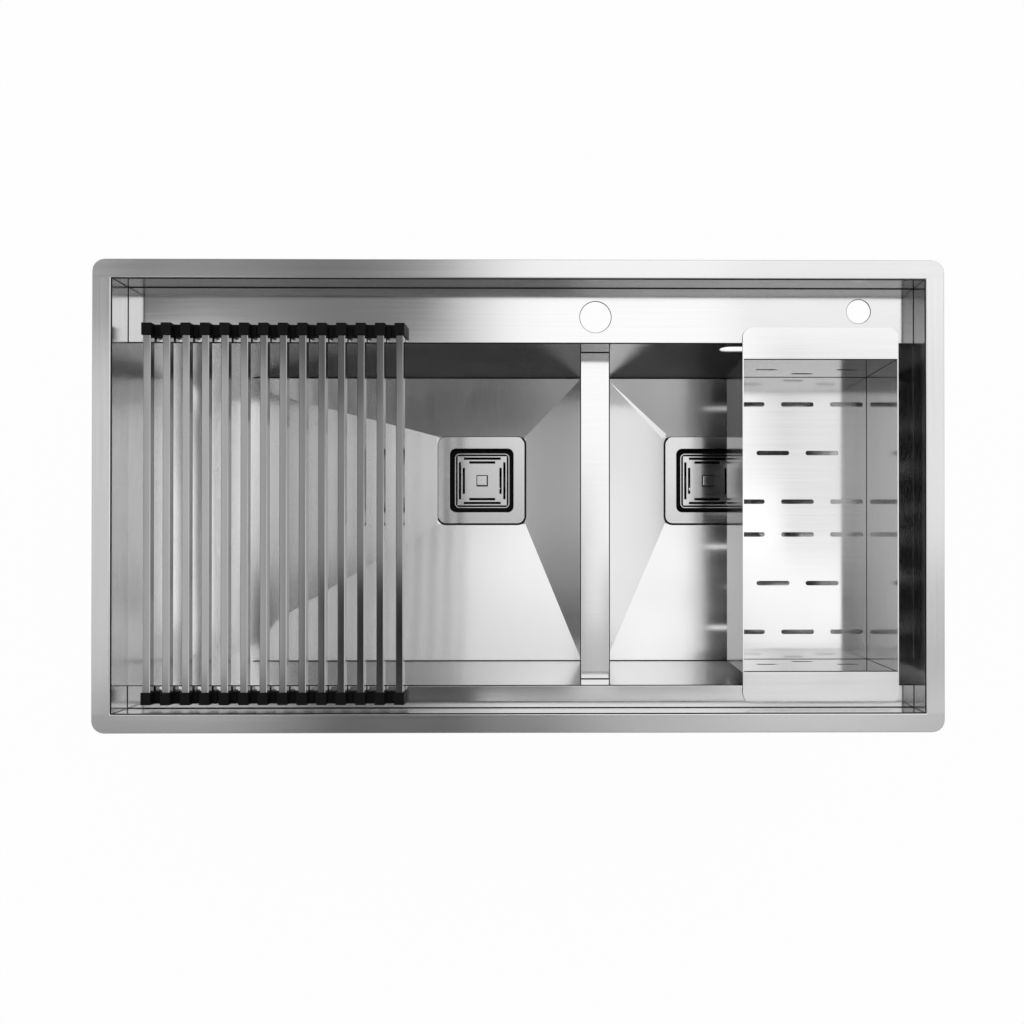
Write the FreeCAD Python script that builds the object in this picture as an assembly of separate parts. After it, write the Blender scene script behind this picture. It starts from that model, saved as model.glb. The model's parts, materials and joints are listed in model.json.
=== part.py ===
import FreeCAD, Part
import math
import os

# Double-bowl stainless sink that drops into a worktop. A sunken ledge along the front and the
# rear carries a roll-up drying rack and a slotted colander, and each bowl has a square drain.
# X runs along the length to the right, Y to the rear and Z up. The origin is the centre of the
# rim's underside, the plane that lies on the worktop. All lengths are in millimetres.

# Whole sink
sink_length = 900.0
sink_width = 500.0
sheet = 1.2
overrun = 4.0
same_level = 1e-6
round_to_cut_share = 2 - math.sqrt(2)

# Rim, step and ledges
rim_side_width = 19.2
rim_front_width = 19.75
rim_corner_radius = 13.0
rim_edge_cut = 0.5
step_depth = 30.0
rear_ledge_width = 60.0
front_ledge_width = 24.0

# Bowls and the divider between them
bowl_depth = 200.0
floor_fall = 10.0
left_bowl_length = 495.0
divider_width = 32.5
divider_drop = 40.5
bridge_leg = 14.0

# Holes in the rear ledge, and the overflow slot
tap_hole_radius = 17.5
tap_hole_from_bowl = 28.3
soap_hole_radius = 13.5
soap_hole_from_bowl = 34.9
soap_hole_from_side = 60.6
overflow_length = 84.0
overflow_height = 22.0
overflow_below_ledge = 26.0

# Drain flange: a square plate with a square cup
drain_from_rear = 135.6
left_drain_from_divider = 134.5
right_drain_from_divider = 137.9
flange_side = 117.4
flange_radius = 10.7
flange_gap = 0.3
flange_plate = 1.5
cup_side = 85.5
cup_radius = 8.0
cup_depth = 27.0
cup_clearance = 1.3
outlet_window_side = 24.0
outlet_window_offset = 20.0

# Gaskets of the drain
seat_gasket = 1.5
under_gasket = 2.0
gasket_margin = 2.0

# Drain body under the bowl
body_wall = 2.5
body_rim = 8.0
body_rim_thickness = 4.0
body_floor_gap = 4.0
body_edge_cut = 5.0
funnel_top_radius = 36.0
funnel_height = 16.0
spigot_radius = 23.9
spigot_bore_radius = 20.0
spigot_length = 24.0
boss_radius = 7.5
spider_thickness = 3.0
spider_height = 12.0

# Bolt that draws the flange and the drain body together
bolt_radius = 4.0
bolt_clearance = 0.25
thread_clearance = 0.03
bolt_head_radius = 7.5
bolt_head_height = 4.0

# Strainer that lifts out of the cup
strainer_side = 73.5
strainer_radius = 6.0
strainer_drop = 5.0
strainer_sheet = 1.0
strainer_lip = 1.2
strainer_groove_depth = 1.5
strainer_plate_side = 66.5
skirt_side = 69.0
skirt_radius = 5.0
skirt_window_length = 44.0
skirt_window_height = 8.0
strainer_slot_width = 3.0
outer_slot_length = 50.0
outer_slot_offset = 30.0
inner_slot_length = 35.0
inner_slot_offset = 24.8
seal_thickness = 2.0
seal_width = 4.0
knob_side = 13.5
knob_edge_cut = 0.6
knob_height = 3.0
knob_neck_side = 6.5
knob_neck_height = 1.5

# What the loose pieces rest with above the ledges and the cup
rest_gap = 0.3

# Colander
colander_width = 171.5
colander_depth = 88.0
colander_flange = 33.5
colander_corner_radius = 11.5
colander_from_right = 17.2
colander_front_gap = 14.05
colander_rear_gap = 16.45
floor_slot_length = 40.0
floor_slot_width = 5.5
floor_slot_pitch = 60.0
floor_row_pitch = 59.3
floor_row_groups_gap = 40.0
wall_slot_length = 25.0
wall_slot_offset = 47.0
wall_slot_high = 50.0
wall_slot_low = 70.0

# Roll-up rack: square tubes held by silicone end pieces
bar_count = 14
bar_pitch = 21.0
bar_side = 8.0
bar_wall = 0.8
bar_corner_radius = 1.2
rack_from_left = 26.0
rack_overlap = 18.4
cap_width = 10.7
cap_height = 10.8
cap_length = 13.3
cap_end_wall = 1.5
web_thickness = 3.0
web_slit = 0.3

# Sound-deadening pads glued to the bowls' outside
pad_thickness = 3.0
pad_edge_share = 0.14
pad_inner_share = 0.24
wall_pad_height = 90.0
wall_pad_drop = 70.0
wall_pad_length_share = 0.62

# Clip rails on the step walls, clips that hang on them, and their screws
rail_height = 14.0
rail_drop = 6.0
rail_length_share = 0.86
rail_sheet = 1.2
rail_slot = 1.4
clip_width = 20.0
clip_sheet = 1.5
clip_play = 0.1
clip_reach = 12.6
clip_drop = 44.0
clip_screw_radius = 2.0
clip_screw_length = 24.0
clip_screw_rise = 8.0
clip_screw_head_radius = 4.2
clip_screw_head_height = 2.6
clip_side_shares = (-0.32, 0.32)
clip_long_shares = (-0.36, 0.0, 0.36)

# Levels
rim_top = sheet
ledge_top = rim_top - step_depth
ledge_under = ledge_top - sheet
wall_base = rim_top - bowl_depth
well_top = wall_base - floor_fall
divider_top = ledge_top - divider_drop
divider_under = divider_top - sheet

# Plan of the opening and the bowls
opening_x = sink_length / 2 - rim_side_width
opening_y = sink_width / 2 - rim_front_width
bowl_rear = opening_y - rear_ledge_width
bowl_front = front_ledge_width - opening_y
left_bowl = (-opening_x, left_bowl_length - opening_x)
right_bowl = (left_bowl[1] + divider_width, opening_x)
drain_y = bowl_rear - drain_from_rear
left_drain_x = left_bowl[1] - left_drain_from_divider
right_drain_x = right_bowl[0] + right_drain_from_divider
tap_hole_x = (left_bowl[1] + right_bowl[0]) / 2

# Levels and sizes of the drain
recess_side = flange_side + 2 * flange_gap
recess_radius = flange_radius + flange_gap
recess_floor = well_top - flange_plate - seat_gasket
recess_under = recess_floor - sheet
cup_outside = cup_side + 2 * sheet
cup_floor = well_top - cup_depth
cup_under = cup_floor - sheet
drain_hole_side = cup_outside + 2 * cup_clearance
drain_hole_radius = cup_radius + sheet + cup_clearance
body_top = recess_under - under_gasket
body_outside = drain_hole_side + 2 * body_wall
body_floor = cup_under - body_floor_gap
body_floor_under = body_floor - body_wall
funnel_bottom = body_floor_under - funnel_height
spigot_bottom = funnel_bottom - spigot_length
boss_top = cup_under - seat_gasket / 2
boss_bottom = funnel_bottom - spider_height
strainer_top = well_top - strainer_drop
strainer_base = strainer_top - strainer_groove_depth
skirt_top = strainer_base - strainer_sheet
seal_top = cup_floor + rest_gap + seal_thickness

# Levels and places of the rack
rack_rear = bowl_rear + rack_overlap
rack_front = bowl_front - rack_overlap
cap_bottom = ledge_top + rest_gap
cap_top = cap_bottom + cap_height
bar_middle_z = cap_bottom + cap_height / 2
first_bar_x = rack_from_left - opening_x

# Levels and places of the colander
colander_under = ledge_top + rest_gap
colander_top = colander_under + sheet
colander_bottom = colander_under - colander_depth
colander_x = opening_x - colander_from_right - colander_width / 2
colander_front = bowl_front + colander_front_gap
colander_rear = bowl_rear - colander_rear_gap
colander_y = (colander_front + colander_rear) / 2


def vector(x, y, z):
    return FreeCAD.Vector(x, y, z)


def box(x0, x1, y0, y1, z0, z1):
    """A box between two corners."""
    return Part.makeBox(x1 - x0, y1 - y0, z1 - z0, vector(x0, y0, z0))


def upright(radius, x, y, z0, z1):
    """An upright cylinder between two levels."""
    return Part.makeCylinder(radius, z1 - z0, vector(x, y, z0))


def rounded_wire(x, y, side_x, side_y, radius, z):
    """A level rectangle about a centre, with round corners."""
    bulge = radius * (1 - math.sqrt(0.5))
    corners = []
    for sx, sy in ((1, 1), (-1, 1), (-1, -1), (1, -1)):
        corner_x, corner_y = x + sx * side_x / 2, y + sy * side_y / 2
        on_side = vector(corner_x, corner_y - sy * radius, z)
        middle = vector(corner_x - sx * bulge, corner_y - sy * bulge, z)
        on_end = vector(corner_x - sx * radius, corner_y, z)
        turn = (on_side, middle, on_end) if sx == sy else (on_end, middle, on_side)
        corners.append(turn)
    edges = []
    for now, after in zip(corners, corners[1:] + corners[:1]):
        edges.append(Part.Arc(*now).toShape())
        edges.append(Part.LineSegment(now[2], after[0]).toShape())
    return Part.Wire(edges)


def rounded_block(x, y, side_x, side_y, radius, z0, z1):
    """An upright block with round corners between two levels."""
    face = Part.Face(rounded_wire(x, y, side_x, side_y, radius, z0))
    return face.extrude(vector(0, 0, z1 - z0))


def rounded_square(x, y, side, radius, z0, z1):
    return rounded_block(x, y, side, side, radius, z0, z1)


def flat_face(corners):
    return Part.Face(Part.makePolygon(corners + corners[:1]))


def faceted_block(x, y, side_x, side_y, radius, z0, z1):
    """An upright block whose corners are cut straight, just outside round ones of a radius."""
    half_x, half_y, cut = side_x / 2, side_y / 2, radius * round_to_cut_share
    in_x, in_y = half_x - cut, half_y - cut
    corners = [(half_x, -in_y), (half_x, in_y), (in_x, half_y), (-in_x, half_y),
               (-half_x, in_y), (-half_x, -in_y), (-in_x, -half_y), (in_x, -half_y)]
    points = [vector(x + dx, y + dy, z0) for dx, dy in corners]
    return flat_face(points).extrude(vector(0, 0, z1 - z0))


def faceted_square(x, y, side, radius, z0, z1):
    return faceted_block(x, y, side, side, radius, z0, z1)


def hexagon_block(radius, x, y, z0, z1):
    """An upright block with six sides; the radius is to its corners."""
    turns = [math.pi * i / 3 for i in range(6)]
    points = [vector(x + radius * math.cos(t), y + radius * math.sin(t), z0) for t in turns]
    return flat_face(points).extrude(vector(0, 0, z1 - z0))


def octagon(radius, x, y, z):
    """The corners of a level octagon; the radius is to its flat sides."""
    reach = radius / math.cos(math.pi / 8)
    turns = [math.pi * (2 * i + 1) / 8 for i in range(8)]
    return [vector(x + reach * math.cos(t), y + reach * math.sin(t), z) for t in turns]


def flat_sided(levels):
    """A solid with flat faces between matching corners of one level after another."""
    faces = [flat_face(levels[0]), flat_face(levels[-1])]
    for upper, lower in zip(levels, levels[1:]):
        for i in range(len(upper)):
            after = (i + 1) % len(upper)
            faces.append(flat_face([upper[i], upper[after], lower[after], lower[i]]))
    return Part.Solid(Part.Shell(faces))


def level_slot(x, y, length, width, z0, z1):
    """A cutter for a slot with round ends that runs along X in a level sheet."""
    straight = (length - width) / 2
    middle = box(x - straight, x + straight, y - width / 2, y + width / 2, z0, z1)
    ends = [upright(width / 2, x + side * straight, y, z0, z1) for side in (-1, 1)]
    return middle.fuse(ends).removeSplitter()


def in_wall(cutter, y, z):
    """A level cutter that stands on zero, turned to point to the rear from a place in a wall."""
    cutter.rotate(vector(0, 0, 0), vector(1, 0, 0), -90)
    cutter.translate(vector(0, y, z))
    return cutter


def edges_at(solid, z):
    """The edges of a solid that lie wholly at one level."""
    return [e for e in solid.Edges if all(abs(v.Z - z) < same_level for v in e.Vertexes)]


def save(name, solid):
    solid.exportStep(os.path.join("parts", name + ".step"))


# Rim with its step walls, and the two ledges welded into it


def rim_plate():
    plate = rounded_block(0, 0, sink_length, sink_width, rim_corner_radius, 0, rim_top)
    return plate.makeChamfer(rim_edge_cut, edges_at(plate, rim_top))


def rim_frame():
    walls = box(-opening_x - sheet, opening_x + sheet, -opening_y - sheet, opening_y + sheet,
                ledge_under, rim_top - rim_edge_cut)
    solid = rim_plate().fuse(walls)
    solid = solid.cut(box(-opening_x, opening_x, -opening_y, opening_y,
                          ledge_under - overrun, rim_top + overrun))
    return solid.removeSplitter()


def front_ledge():
    return box(-opening_x, opening_x, -opening_y, bowl_front, ledge_under, ledge_top)


def rear_ledge():
    """The wider ledge, which has the tap's hole."""
    solid = box(-opening_x, opening_x, bowl_rear, opening_y, ledge_under, ledge_top)
    for x, y, radius in ledge_holes():
        solid = solid.cut(upright(radius, x, y, ledge_under - overrun, ledge_top + overrun))
    return solid


def ledge_holes():
    """Centre and radius of the tap hole and the soap dispenser's hole."""
    tap = (tap_hole_x, bowl_rear + tap_hole_from_bowl, tap_hole_radius)
    soap = (opening_x - soap_hole_from_side, bowl_rear + soap_hole_from_bowl, soap_hole_radius)
    return [tap, soap]


# Bowls: straight walls over four flat facets that fall to the drain


def rectangle(x0, x1, y0, y1, z):
    """The corners of a level rectangle, anticlockwise from above."""
    return [vector(x0, y0, z), vector(x1, y0, z), vector(x1, y1, z), vector(x0, y1, z)]


def basin(span, drain_x, grow, top):
    """The space in a bowl, grown outwards and downwards by a thickness."""
    x0, x1 = span[0] - grow, span[1] + grow
    y0, y1 = bowl_front - grow, bowl_rear + grow
    half = recess_side / 2
    return flat_sided([
        rectangle(x0, x1, y0, y1, top),
        rectangle(x0, x1, y0, y1, wall_base - grow),
        rectangle(drain_x - half, drain_x + half, drain_y - half, drain_y + half,
                  well_top - grow),
    ])


def bowl(span, drain_x, divider_face, inwards):
    """One folded bowl with its stamped drain seat; inwards points from the divider to the bowl."""
    solid = basin(span, drain_x, sheet, ledge_under)
    seat = rounded_square(drain_x, drain_y, recess_side + 2 * sheet, recess_radius + sheet,
                          recess_under, well_top)
    solid = solid.fuse(seat).cut(basin(span, drain_x, 0, ledge_under))
    solid = solid.cut(rounded_square(drain_x, drain_y, recess_side, recess_radius,
                                     recess_floor, well_top + overrun))
    solid = solid.cut(faceted_square(drain_x, drain_y, drain_hole_side, drain_hole_radius,
                                     recess_under - overrun, recess_floor + overrun))
    behind = divider_face - inwards * sheet
    solid = solid.cut(box(min(divider_face, behind), max(divider_face, behind),
                          bowl_front - sheet, bowl_rear + sheet, divider_under, ledge_under))
    return solid.removeSplitter()


def left_bowl_shell():
    return bowl(left_bowl, left_drain_x, left_bowl[1], -1)


def right_bowl_shell():
    slot = level_slot((right_bowl[0] + right_bowl[1]) / 2, 0, overflow_length, overflow_height,
                      0, 2 * overrun)
    slot = in_wall(slot, bowl_rear - overrun, ledge_top - overflow_below_ledge)
    return bowl(right_bowl, right_drain_x, right_bowl[0], 1).cut(slot).removeSplitter()


def divider_bridge():
    """A channel over the two inner walls, with ends turned up to the ledges."""
    x0, x1 = left_bowl[1], right_bowl[0]
    top = box(x0, x1, bowl_front - sheet, bowl_rear + sheet, divider_under, divider_top)
    leg_front, leg_rear = bowl_front + bridge_leg, bowl_rear - bridge_leg
    pieces = [
        box(x0 + sheet, x0 + 2 * sheet, leg_front, leg_rear,
            divider_under - bridge_leg, divider_under),
        box(x1 - 2 * sheet, x1 - sheet, leg_front, leg_rear,
            divider_under - bridge_leg, divider_under),
        box(x0, x1, bowl_rear, bowl_rear + sheet, divider_under, ledge_under),
        box(x0, x1, bowl_front - sheet, bowl_front, divider_under, ledge_under),
    ]
    return top.fuse(pieces).removeSplitter()


# Sound-deadening pads


def between(a, b, share):
    return a + (b - a) * share


def facet_pad(base, well):
    """A pad on one facet's underside; base and well are its two level edges, each end to end."""
    corners = []
    for along, across in ((pad_edge_share, pad_edge_share), (1 - pad_edge_share, pad_edge_share),
                          (1 - pad_edge_share, 1 - pad_inner_share),
                          (pad_edge_share, 1 - pad_inner_share)):
        outer = between(base[0], base[1], along)
        inner = between(well[0], well[1], along)
        corners.append(between(outer, inner, across))
    face = flat_face(corners)
    normal = (base[1] - base[0]).cross(well[0] - base[0]).normalize()
    if normal.z > 0:
        normal = normal * -1
    return face.extrude(normal * pad_thickness)


def floor_pads(span, drain_x):
    x0, x1 = span[0] - sheet, span[1] + sheet
    y0, y1 = bowl_front - sheet, bowl_rear + sheet
    half = recess_side / 2
    base_z, well_z = wall_base - sheet, well_top - sheet
    base = [vector(x0, y0, base_z), vector(x1, y0, base_z),
            vector(x1, y1, base_z), vector(x0, y1, base_z)]
    well = [vector(drain_x - half, drain_y - half, well_z),
            vector(drain_x + half, drain_y - half, well_z),
            vector(drain_x + half, drain_y + half, well_z),
            vector(drain_x - half, drain_y + half, well_z)]
    pads = []
    for i in range(4):
        after = (i + 1) % 4
        pads.append(facet_pad((base[i], base[after]), (well[i], well[after])))
    return pads


def wall_pads(span, outer_face, outwards):
    """Pads on the front, rear and outer walls of one bowl."""
    top = ledge_under - wall_pad_drop
    bottom = top - wall_pad_height
    middle_x = (span[0] + span[1]) / 2
    half_x = (span[1] - span[0]) * wall_pad_length_share / 2
    middle_y = (bowl_front + bowl_rear) / 2
    half_y = (bowl_rear - bowl_front) * wall_pad_length_share / 2
    rear, front = bowl_rear + sheet, bowl_front - sheet
    side = outer_face + outwards * sheet
    side_out = side + outwards * pad_thickness
    return [
        box(middle_x - half_x, middle_x + half_x, rear, rear + pad_thickness, bottom, top),
        box(middle_x - half_x, middle_x + half_x, front - pad_thickness, front, bottom, top),
        box(min(side, side_out), max(side, side_out), middle_y - half_y, middle_y + half_y,
            bottom, top),
    ]


def bowl_pads(span, drain_x, outer_face, outwards):
    return Part.Compound(floor_pads(span, drain_x) + wall_pads(span, outer_face, outwards))


# Clip rails, clips and screws, drawn at the middle of the front wall and then turned


def profile(points, width):
    """A strip of a width along X, from its outline in the Y and Z plane."""
    face = flat_face([vector(-width / 2, y, z) for y, z in points])
    return face.extrude(vector(width, 0, 0))


def rail(length):
    """A strip welded to the step wall, with an open slot behind its upper half. Y 0 is the wall."""
    face = -rail_sheet - rail_slot
    top = -rail_drop
    middle, bottom = top - rail_height / 2, top - rail_height
    outline = [
        (0, bottom), (0, middle + rail_sheet), (face + rail_sheet, middle + rail_sheet),
        (face + rail_sheet, top), (face, top), (face, middle), (-rail_sheet, middle),
        (-rail_sheet, bottom),
    ]
    return profile(outline, length)


def clip():
    """A strip that hooks over the rail, hangs down and reaches out under the worktop."""
    inner = -rail_sheet - rail_slot - clip_play
    outer = inner - clip_sheet
    hook_top = -rail_drop + clip_play + clip_sheet
    lip_back = -clip_play
    lip_front = -rail_slot + clip_play
    lip_foot = -rail_drop - rail_height / 2 + rail_sheet + clip_play
    hook_under = hook_top - clip_sheet
    arm_top = clip_sheet - clip_drop
    outline = [
        (lip_back, lip_foot), (lip_back, hook_top), (outer, hook_top),
        (outer, arm_top), (outer - clip_reach, arm_top), (outer - clip_reach, -clip_drop),
        (inner, -clip_drop), (inner, hook_under), (lip_front, hook_under),
        (lip_front, lip_foot),
    ]
    reach = clip_screw_radius + thread_clearance
    hole = box(-reach, reach, clip_screw_y() - reach, clip_screw_y() + reach,
               -clip_drop - overrun, clip_sheet - clip_drop + overrun)
    return profile(outline, clip_width).cut(hole)


def clip_screw_y():
    return -rail_sheet - rail_slot - clip_play - clip_sheet - clip_reach / 2


def clip_screw():
    """The screw that presses up against the worktop."""
    tip = clip_sheet - clip_drop + clip_screw_rise
    foot = tip - clip_screw_length
    shank = upright(clip_screw_radius, 0, clip_screw_y(), foot, tip)
    head = hexagon_block(clip_screw_head_radius, 0, clip_screw_y(),
                         foot - clip_screw_head_height, foot)
    return shank.fuse(head).removeSplitter()


def on_walls(make_long, make_short, long_shares, side_shares):
    """Copies of a piece on the four step walls, at shares of each wall's length."""
    copies = []
    wall_x, wall_y = opening_x + sheet, opening_y + sheet
    for angle, distance, length, shares, make in (
        (0, wall_y, 2 * opening_x, long_shares, make_long),
        (180, wall_y, 2 * opening_x, long_shares, make_long),
        (90, wall_x, 2 * opening_y, side_shares, make_short),
        (-90, wall_x, 2 * opening_y, side_shares, make_short),
    ):
        for share in shares:
            piece = make()
            piece.translate(vector(share * length, -distance, 0))
            piece.rotate(vector(0, 0, 0), vector(0, 0, 1), angle)
            copies.append(piece)
    return copies


def clip_rails():
    return Part.Compound(on_walls(
        lambda: rail(2 * opening_x * rail_length_share),
        lambda: rail(2 * opening_y * rail_length_share), (0,), (0,)))


def clips():
    return Part.Compound(on_walls(clip, clip, clip_long_shares, clip_side_shares))


def clip_screws():
    return Part.Compound(on_walls(clip_screw, clip_screw, clip_long_shares, clip_side_shares))


# Drain: flange with its cup, gaskets, body and bolt


def drain_flange(x):
    plate = rounded_square(x, drain_y, flange_side, flange_radius, well_top - flange_plate, well_top)
    cup = rounded_square(x, drain_y, cup_outside, cup_radius + sheet, cup_under, well_top)
    solid = plate.fuse(cup)
    solid = solid.cut(rounded_square(x, drain_y, cup_side, cup_radius,
                                     cup_floor, well_top + overrun))
    holes = [upright(bolt_radius + bolt_clearance, x, drain_y,
                     cup_under - overrun, cup_floor + overrun)]
    half = outlet_window_side / 2
    for side_x in (-1, 1):
        for side_y in (-1, 1):
            middle_x = x + side_x * outlet_window_offset
            middle_y = drain_y + side_y * outlet_window_offset
            holes.append(box(middle_x - half, middle_x + half, middle_y - half, middle_y + half,
                             cup_under - overrun, cup_floor + overrun))
    return solid.cut(holes).removeSplitter()


def gasket(x, outside, outside_radius, z0, z1):
    ring = faceted_square(x, drain_y, outside, outside_radius, z0, z1)
    return ring.cut(faceted_square(x, drain_y, drain_hole_side, drain_hole_radius,
                                   z0 - overrun, z1 + overrun))


def seat_gasket_ring(x):
    return gasket(x, flange_side - 2 * gasket_margin, flange_radius - gasket_margin,
                  recess_floor, well_top - flange_plate)


def under_gasket_ring(x):
    return gasket(x, body_outside + 2 * body_rim, drain_hole_radius + body_wall + body_rim,
                  body_top, recess_under)


def drain_body_outside(x):
    tray = faceted_square(x, drain_y, body_outside, drain_hole_radius + body_wall,
                          body_floor_under, body_top)
    tray = tray.makeChamfer(body_edge_cut, edges_at(tray, body_floor_under))
    collar = faceted_square(x, drain_y, body_outside + 2 * body_rim,
                            drain_hole_radius + body_wall + body_rim,
                            body_top - body_rim_thickness, body_top)
    funnel = flat_sided([octagon(funnel_top_radius, x, drain_y, body_floor_under),
                         octagon(spigot_radius, x, drain_y, funnel_bottom)])
    spigot = upright(spigot_radius, x, drain_y, spigot_bottom, funnel_bottom)
    return tray.fuse([collar, funnel, spigot])


def drain_body_inside(x):
    tray = faceted_square(x, drain_y, drain_hole_side, drain_hole_radius,
                          body_floor, body_top + overrun)
    inside_cut = body_edge_cut - body_wall * round_to_cut_share
    tray = tray.makeChamfer(inside_cut, edges_at(tray, body_floor))
    funnel = flat_sided([octagon(funnel_top_radius - body_wall, x, drain_y, body_floor),
                         octagon(spigot_bore_radius, x, drain_y, funnel_bottom)])
    bore = upright(spigot_bore_radius, x, drain_y, spigot_bottom - overrun, funnel_bottom)
    return tray.fuse([funnel, bore])


def drain_body(x):
    """A plastic tray that narrows to a spigot, with a spider that holds the bolt's boss."""
    solid = drain_body_outside(x).cut(drain_body_inside(x))
    reach = (spigot_radius + spigot_bore_radius) / 2
    spider = box(x - reach, x + reach,
                 drain_y - spider_thickness / 2, drain_y + spider_thickness / 2,
                 boss_bottom, boss_bottom + spider_height)
    cross = spider.copy()
    cross.rotate(vector(x, drain_y, 0), vector(0, 0, 1), 90)
    boss = hexagon_block(boss_radius, x, drain_y, boss_bottom, boss_top)
    solid = solid.fuse([spider, cross, boss])
    thread = upright(bolt_radius + thread_clearance, x, drain_y,
                     boss_bottom - overrun, boss_top + overrun)
    return solid.cut(thread).removeSplitter()


def drain_bolt(x):
    shank = upright(bolt_radius, x, drain_y, boss_bottom, cup_floor)
    head = hexagon_block(bolt_head_radius, x, drain_y, cup_floor, cup_floor + bolt_head_height)
    return shank.fuse(head).removeSplitter()


# Strainer: slotted plate on a skirt, with a seal below and a knob on top


def strainer_slots(x):
    """Cutters for two rings of four slots each."""
    cutters = []
    z0, z1 = skirt_top - overrun, strainer_top + overrun
    half = strainer_slot_width / 2
    for length, offset in ((outer_slot_length, outer_slot_offset),
                           (inner_slot_length, inner_slot_offset)):
        for middle in (-offset, offset):
            cutters.append(box(x - length / 2, x + length / 2,
                               drain_y + middle - half, drain_y + middle + half, z0, z1))
            cutters.append(box(x + middle - half, x + middle + half,
                               drain_y - length / 2, drain_y + length / 2, z0, z1))
    return cutters


def skirt_windows(x):
    """Cutters for one window in each side of the skirt."""
    middle = (skirt_top + seal_top) / 2
    window = box(x - skirt_window_length / 2, x + skirt_window_length / 2,
                 drain_y - skirt_side, drain_y + skirt_side,
                 middle - skirt_window_height / 2, middle + skirt_window_height / 2)
    across = window.copy()
    across.rotate(vector(x, drain_y, 0), vector(0, 0, 1), 90)
    return [window, across]


def strainer_plate(x):
    base = rounded_square(x, drain_y, strainer_side, strainer_radius, skirt_top, strainer_top)
    groove = rounded_square(x, drain_y, strainer_side - 2 * strainer_lip,
                            strainer_radius - strainer_lip, strainer_base, strainer_top + overrun)
    half = strainer_plate_side / 2
    raised = box(x - half, x + half, drain_y - half, drain_y + half, strainer_base, strainer_top)
    return base.cut(groove).fuse(raised)


def strainer_basket(x):
    skirt = faceted_square(x, drain_y, skirt_side, skirt_radius, seal_top, skirt_top)
    skirt = skirt.cut(faceted_square(x, drain_y, skirt_side - 2 * strainer_sheet,
                                     skirt_radius - strainer_sheet,
                                     seal_top - overrun, skirt_top + overrun))
    skirt = skirt.cut(skirt_windows(x))
    return strainer_plate(x).fuse(skirt).cut(strainer_slots(x)).removeSplitter()


def strainer_seal(x):
    ring = faceted_square(x, drain_y, skirt_side, skirt_radius, cup_floor + rest_gap, seal_top)
    return ring.cut(faceted_square(x, drain_y, skirt_side - 2 * seal_width,
                                   skirt_radius - strainer_sheet,
                                   cup_floor, seal_top + overrun))


def strainer_knob(x):
    neck_half, half = knob_neck_side / 2, knob_side / 2
    head_base = strainer_top + knob_neck_height
    head_top = head_base + knob_height
    neck = box(x - neck_half, x + neck_half, drain_y - neck_half, drain_y + neck_half,
               strainer_top, head_base)
    head = box(x - half, x + half, drain_y - half, drain_y + half, head_base, head_top)
    head = head.makeChamfer(knob_edge_cut, edges_at(head, head_top))
    return neck.fuse(head).removeSplitter()


# Colander: a folded tray with a flange at each end


def colander_floor_slots():
    """Cutters for two groups of three rows: three slots, two slots, three slots."""
    cutters = []
    z0, z1 = colander_bottom - overrun, colander_bottom + sheet + overrun
    for side in (-1, 1):
        for row in range(3):
            y = colander_y + side * (floor_row_groups_gap / 2 + row * floor_row_pitch)
            pitch_shares = (-0.5, 0.5) if row == 1 else (-1, 0, 1)
            for share in pitch_shares:
                cutters.append(faceted_block(colander_x + share * floor_slot_pitch, y,
                                             floor_slot_length, floor_slot_width,
                                             floor_slot_width / 2, z0, z1))
    return cutters


def colander_wall_slots():
    """Cutters through the front and rear walls: two slots above one."""
    cutters = []
    y0, y1 = colander_front - overrun, colander_rear + overrun
    for offset, drop in ((-wall_slot_offset, wall_slot_high), (wall_slot_offset, wall_slot_high),
                         (0, wall_slot_low)):
        flat = faceted_block(colander_x + offset, 0, wall_slot_length, floor_slot_width,
                             floor_slot_width / 2, 0, y1 - y0)
        cutters.append(in_wall(flat, y0, colander_top - drop))
    return cutters


def colander():
    x0, x1 = colander_x - colander_width / 2, colander_x + colander_width / 2
    y0, y1 = colander_front, colander_rear
    tray = box(x0, x1, y0, y1, colander_bottom, colander_top)
    flange = rounded_block(colander_x, colander_y, colander_width,
                           y1 - y0 + 2 * colander_flange, colander_corner_radius,
                           colander_under, colander_top)
    solid = tray.fuse(flange)
    solid = solid.cut(box(x0 + sheet, x1 - sheet, y0 + sheet, y1 - sheet,
                          colander_bottom + sheet, colander_top + overrun))
    return solid.cut(colander_floor_slots() + colander_wall_slots()).removeSplitter()


# Rack: tubes, and silicone end pieces that hold them and bend between them


def bar_x(index):
    return first_bar_x + index * bar_pitch


def lying_tube(x, side, radius, y0, y1):
    """A square bar with eased edges that lies along Y."""
    bar = faceted_square(x, 0, side, radius, 0, y1 - y0)
    bar.rotate(vector(x, 0, 0), vector(1, 0, 0), -90)
    bar.translate(vector(0, y0, bar_middle_z))
    return bar


def rack_bar(index):
    y0, y1 = rack_front + cap_end_wall, rack_rear - cap_end_wall
    tube = lying_tube(bar_x(index), bar_side, bar_corner_radius, y0, y1)
    hollow = lying_tube(bar_x(index), bar_side - 2 * bar_wall, bar_corner_radius - bar_wall,
                        y0 - overrun, y1 + overrun)
    return tube.cut(hollow)


def end_cap(index, y0, y1):
    """One silicone block, with a web on each side that has a neighbour."""
    x = bar_x(index)
    block = box(x - cap_width / 2, x + cap_width / 2, y0, y1, cap_bottom, cap_top)
    reach = (bar_pitch - web_slit) / 2
    left = x - reach if index > 0 else x
    right = x + reach if index < bar_count - 1 else x
    web = box(left, right, y0, y1, cap_bottom, cap_bottom + web_thickness)
    return block.fuse(web).removeSplitter()


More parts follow.
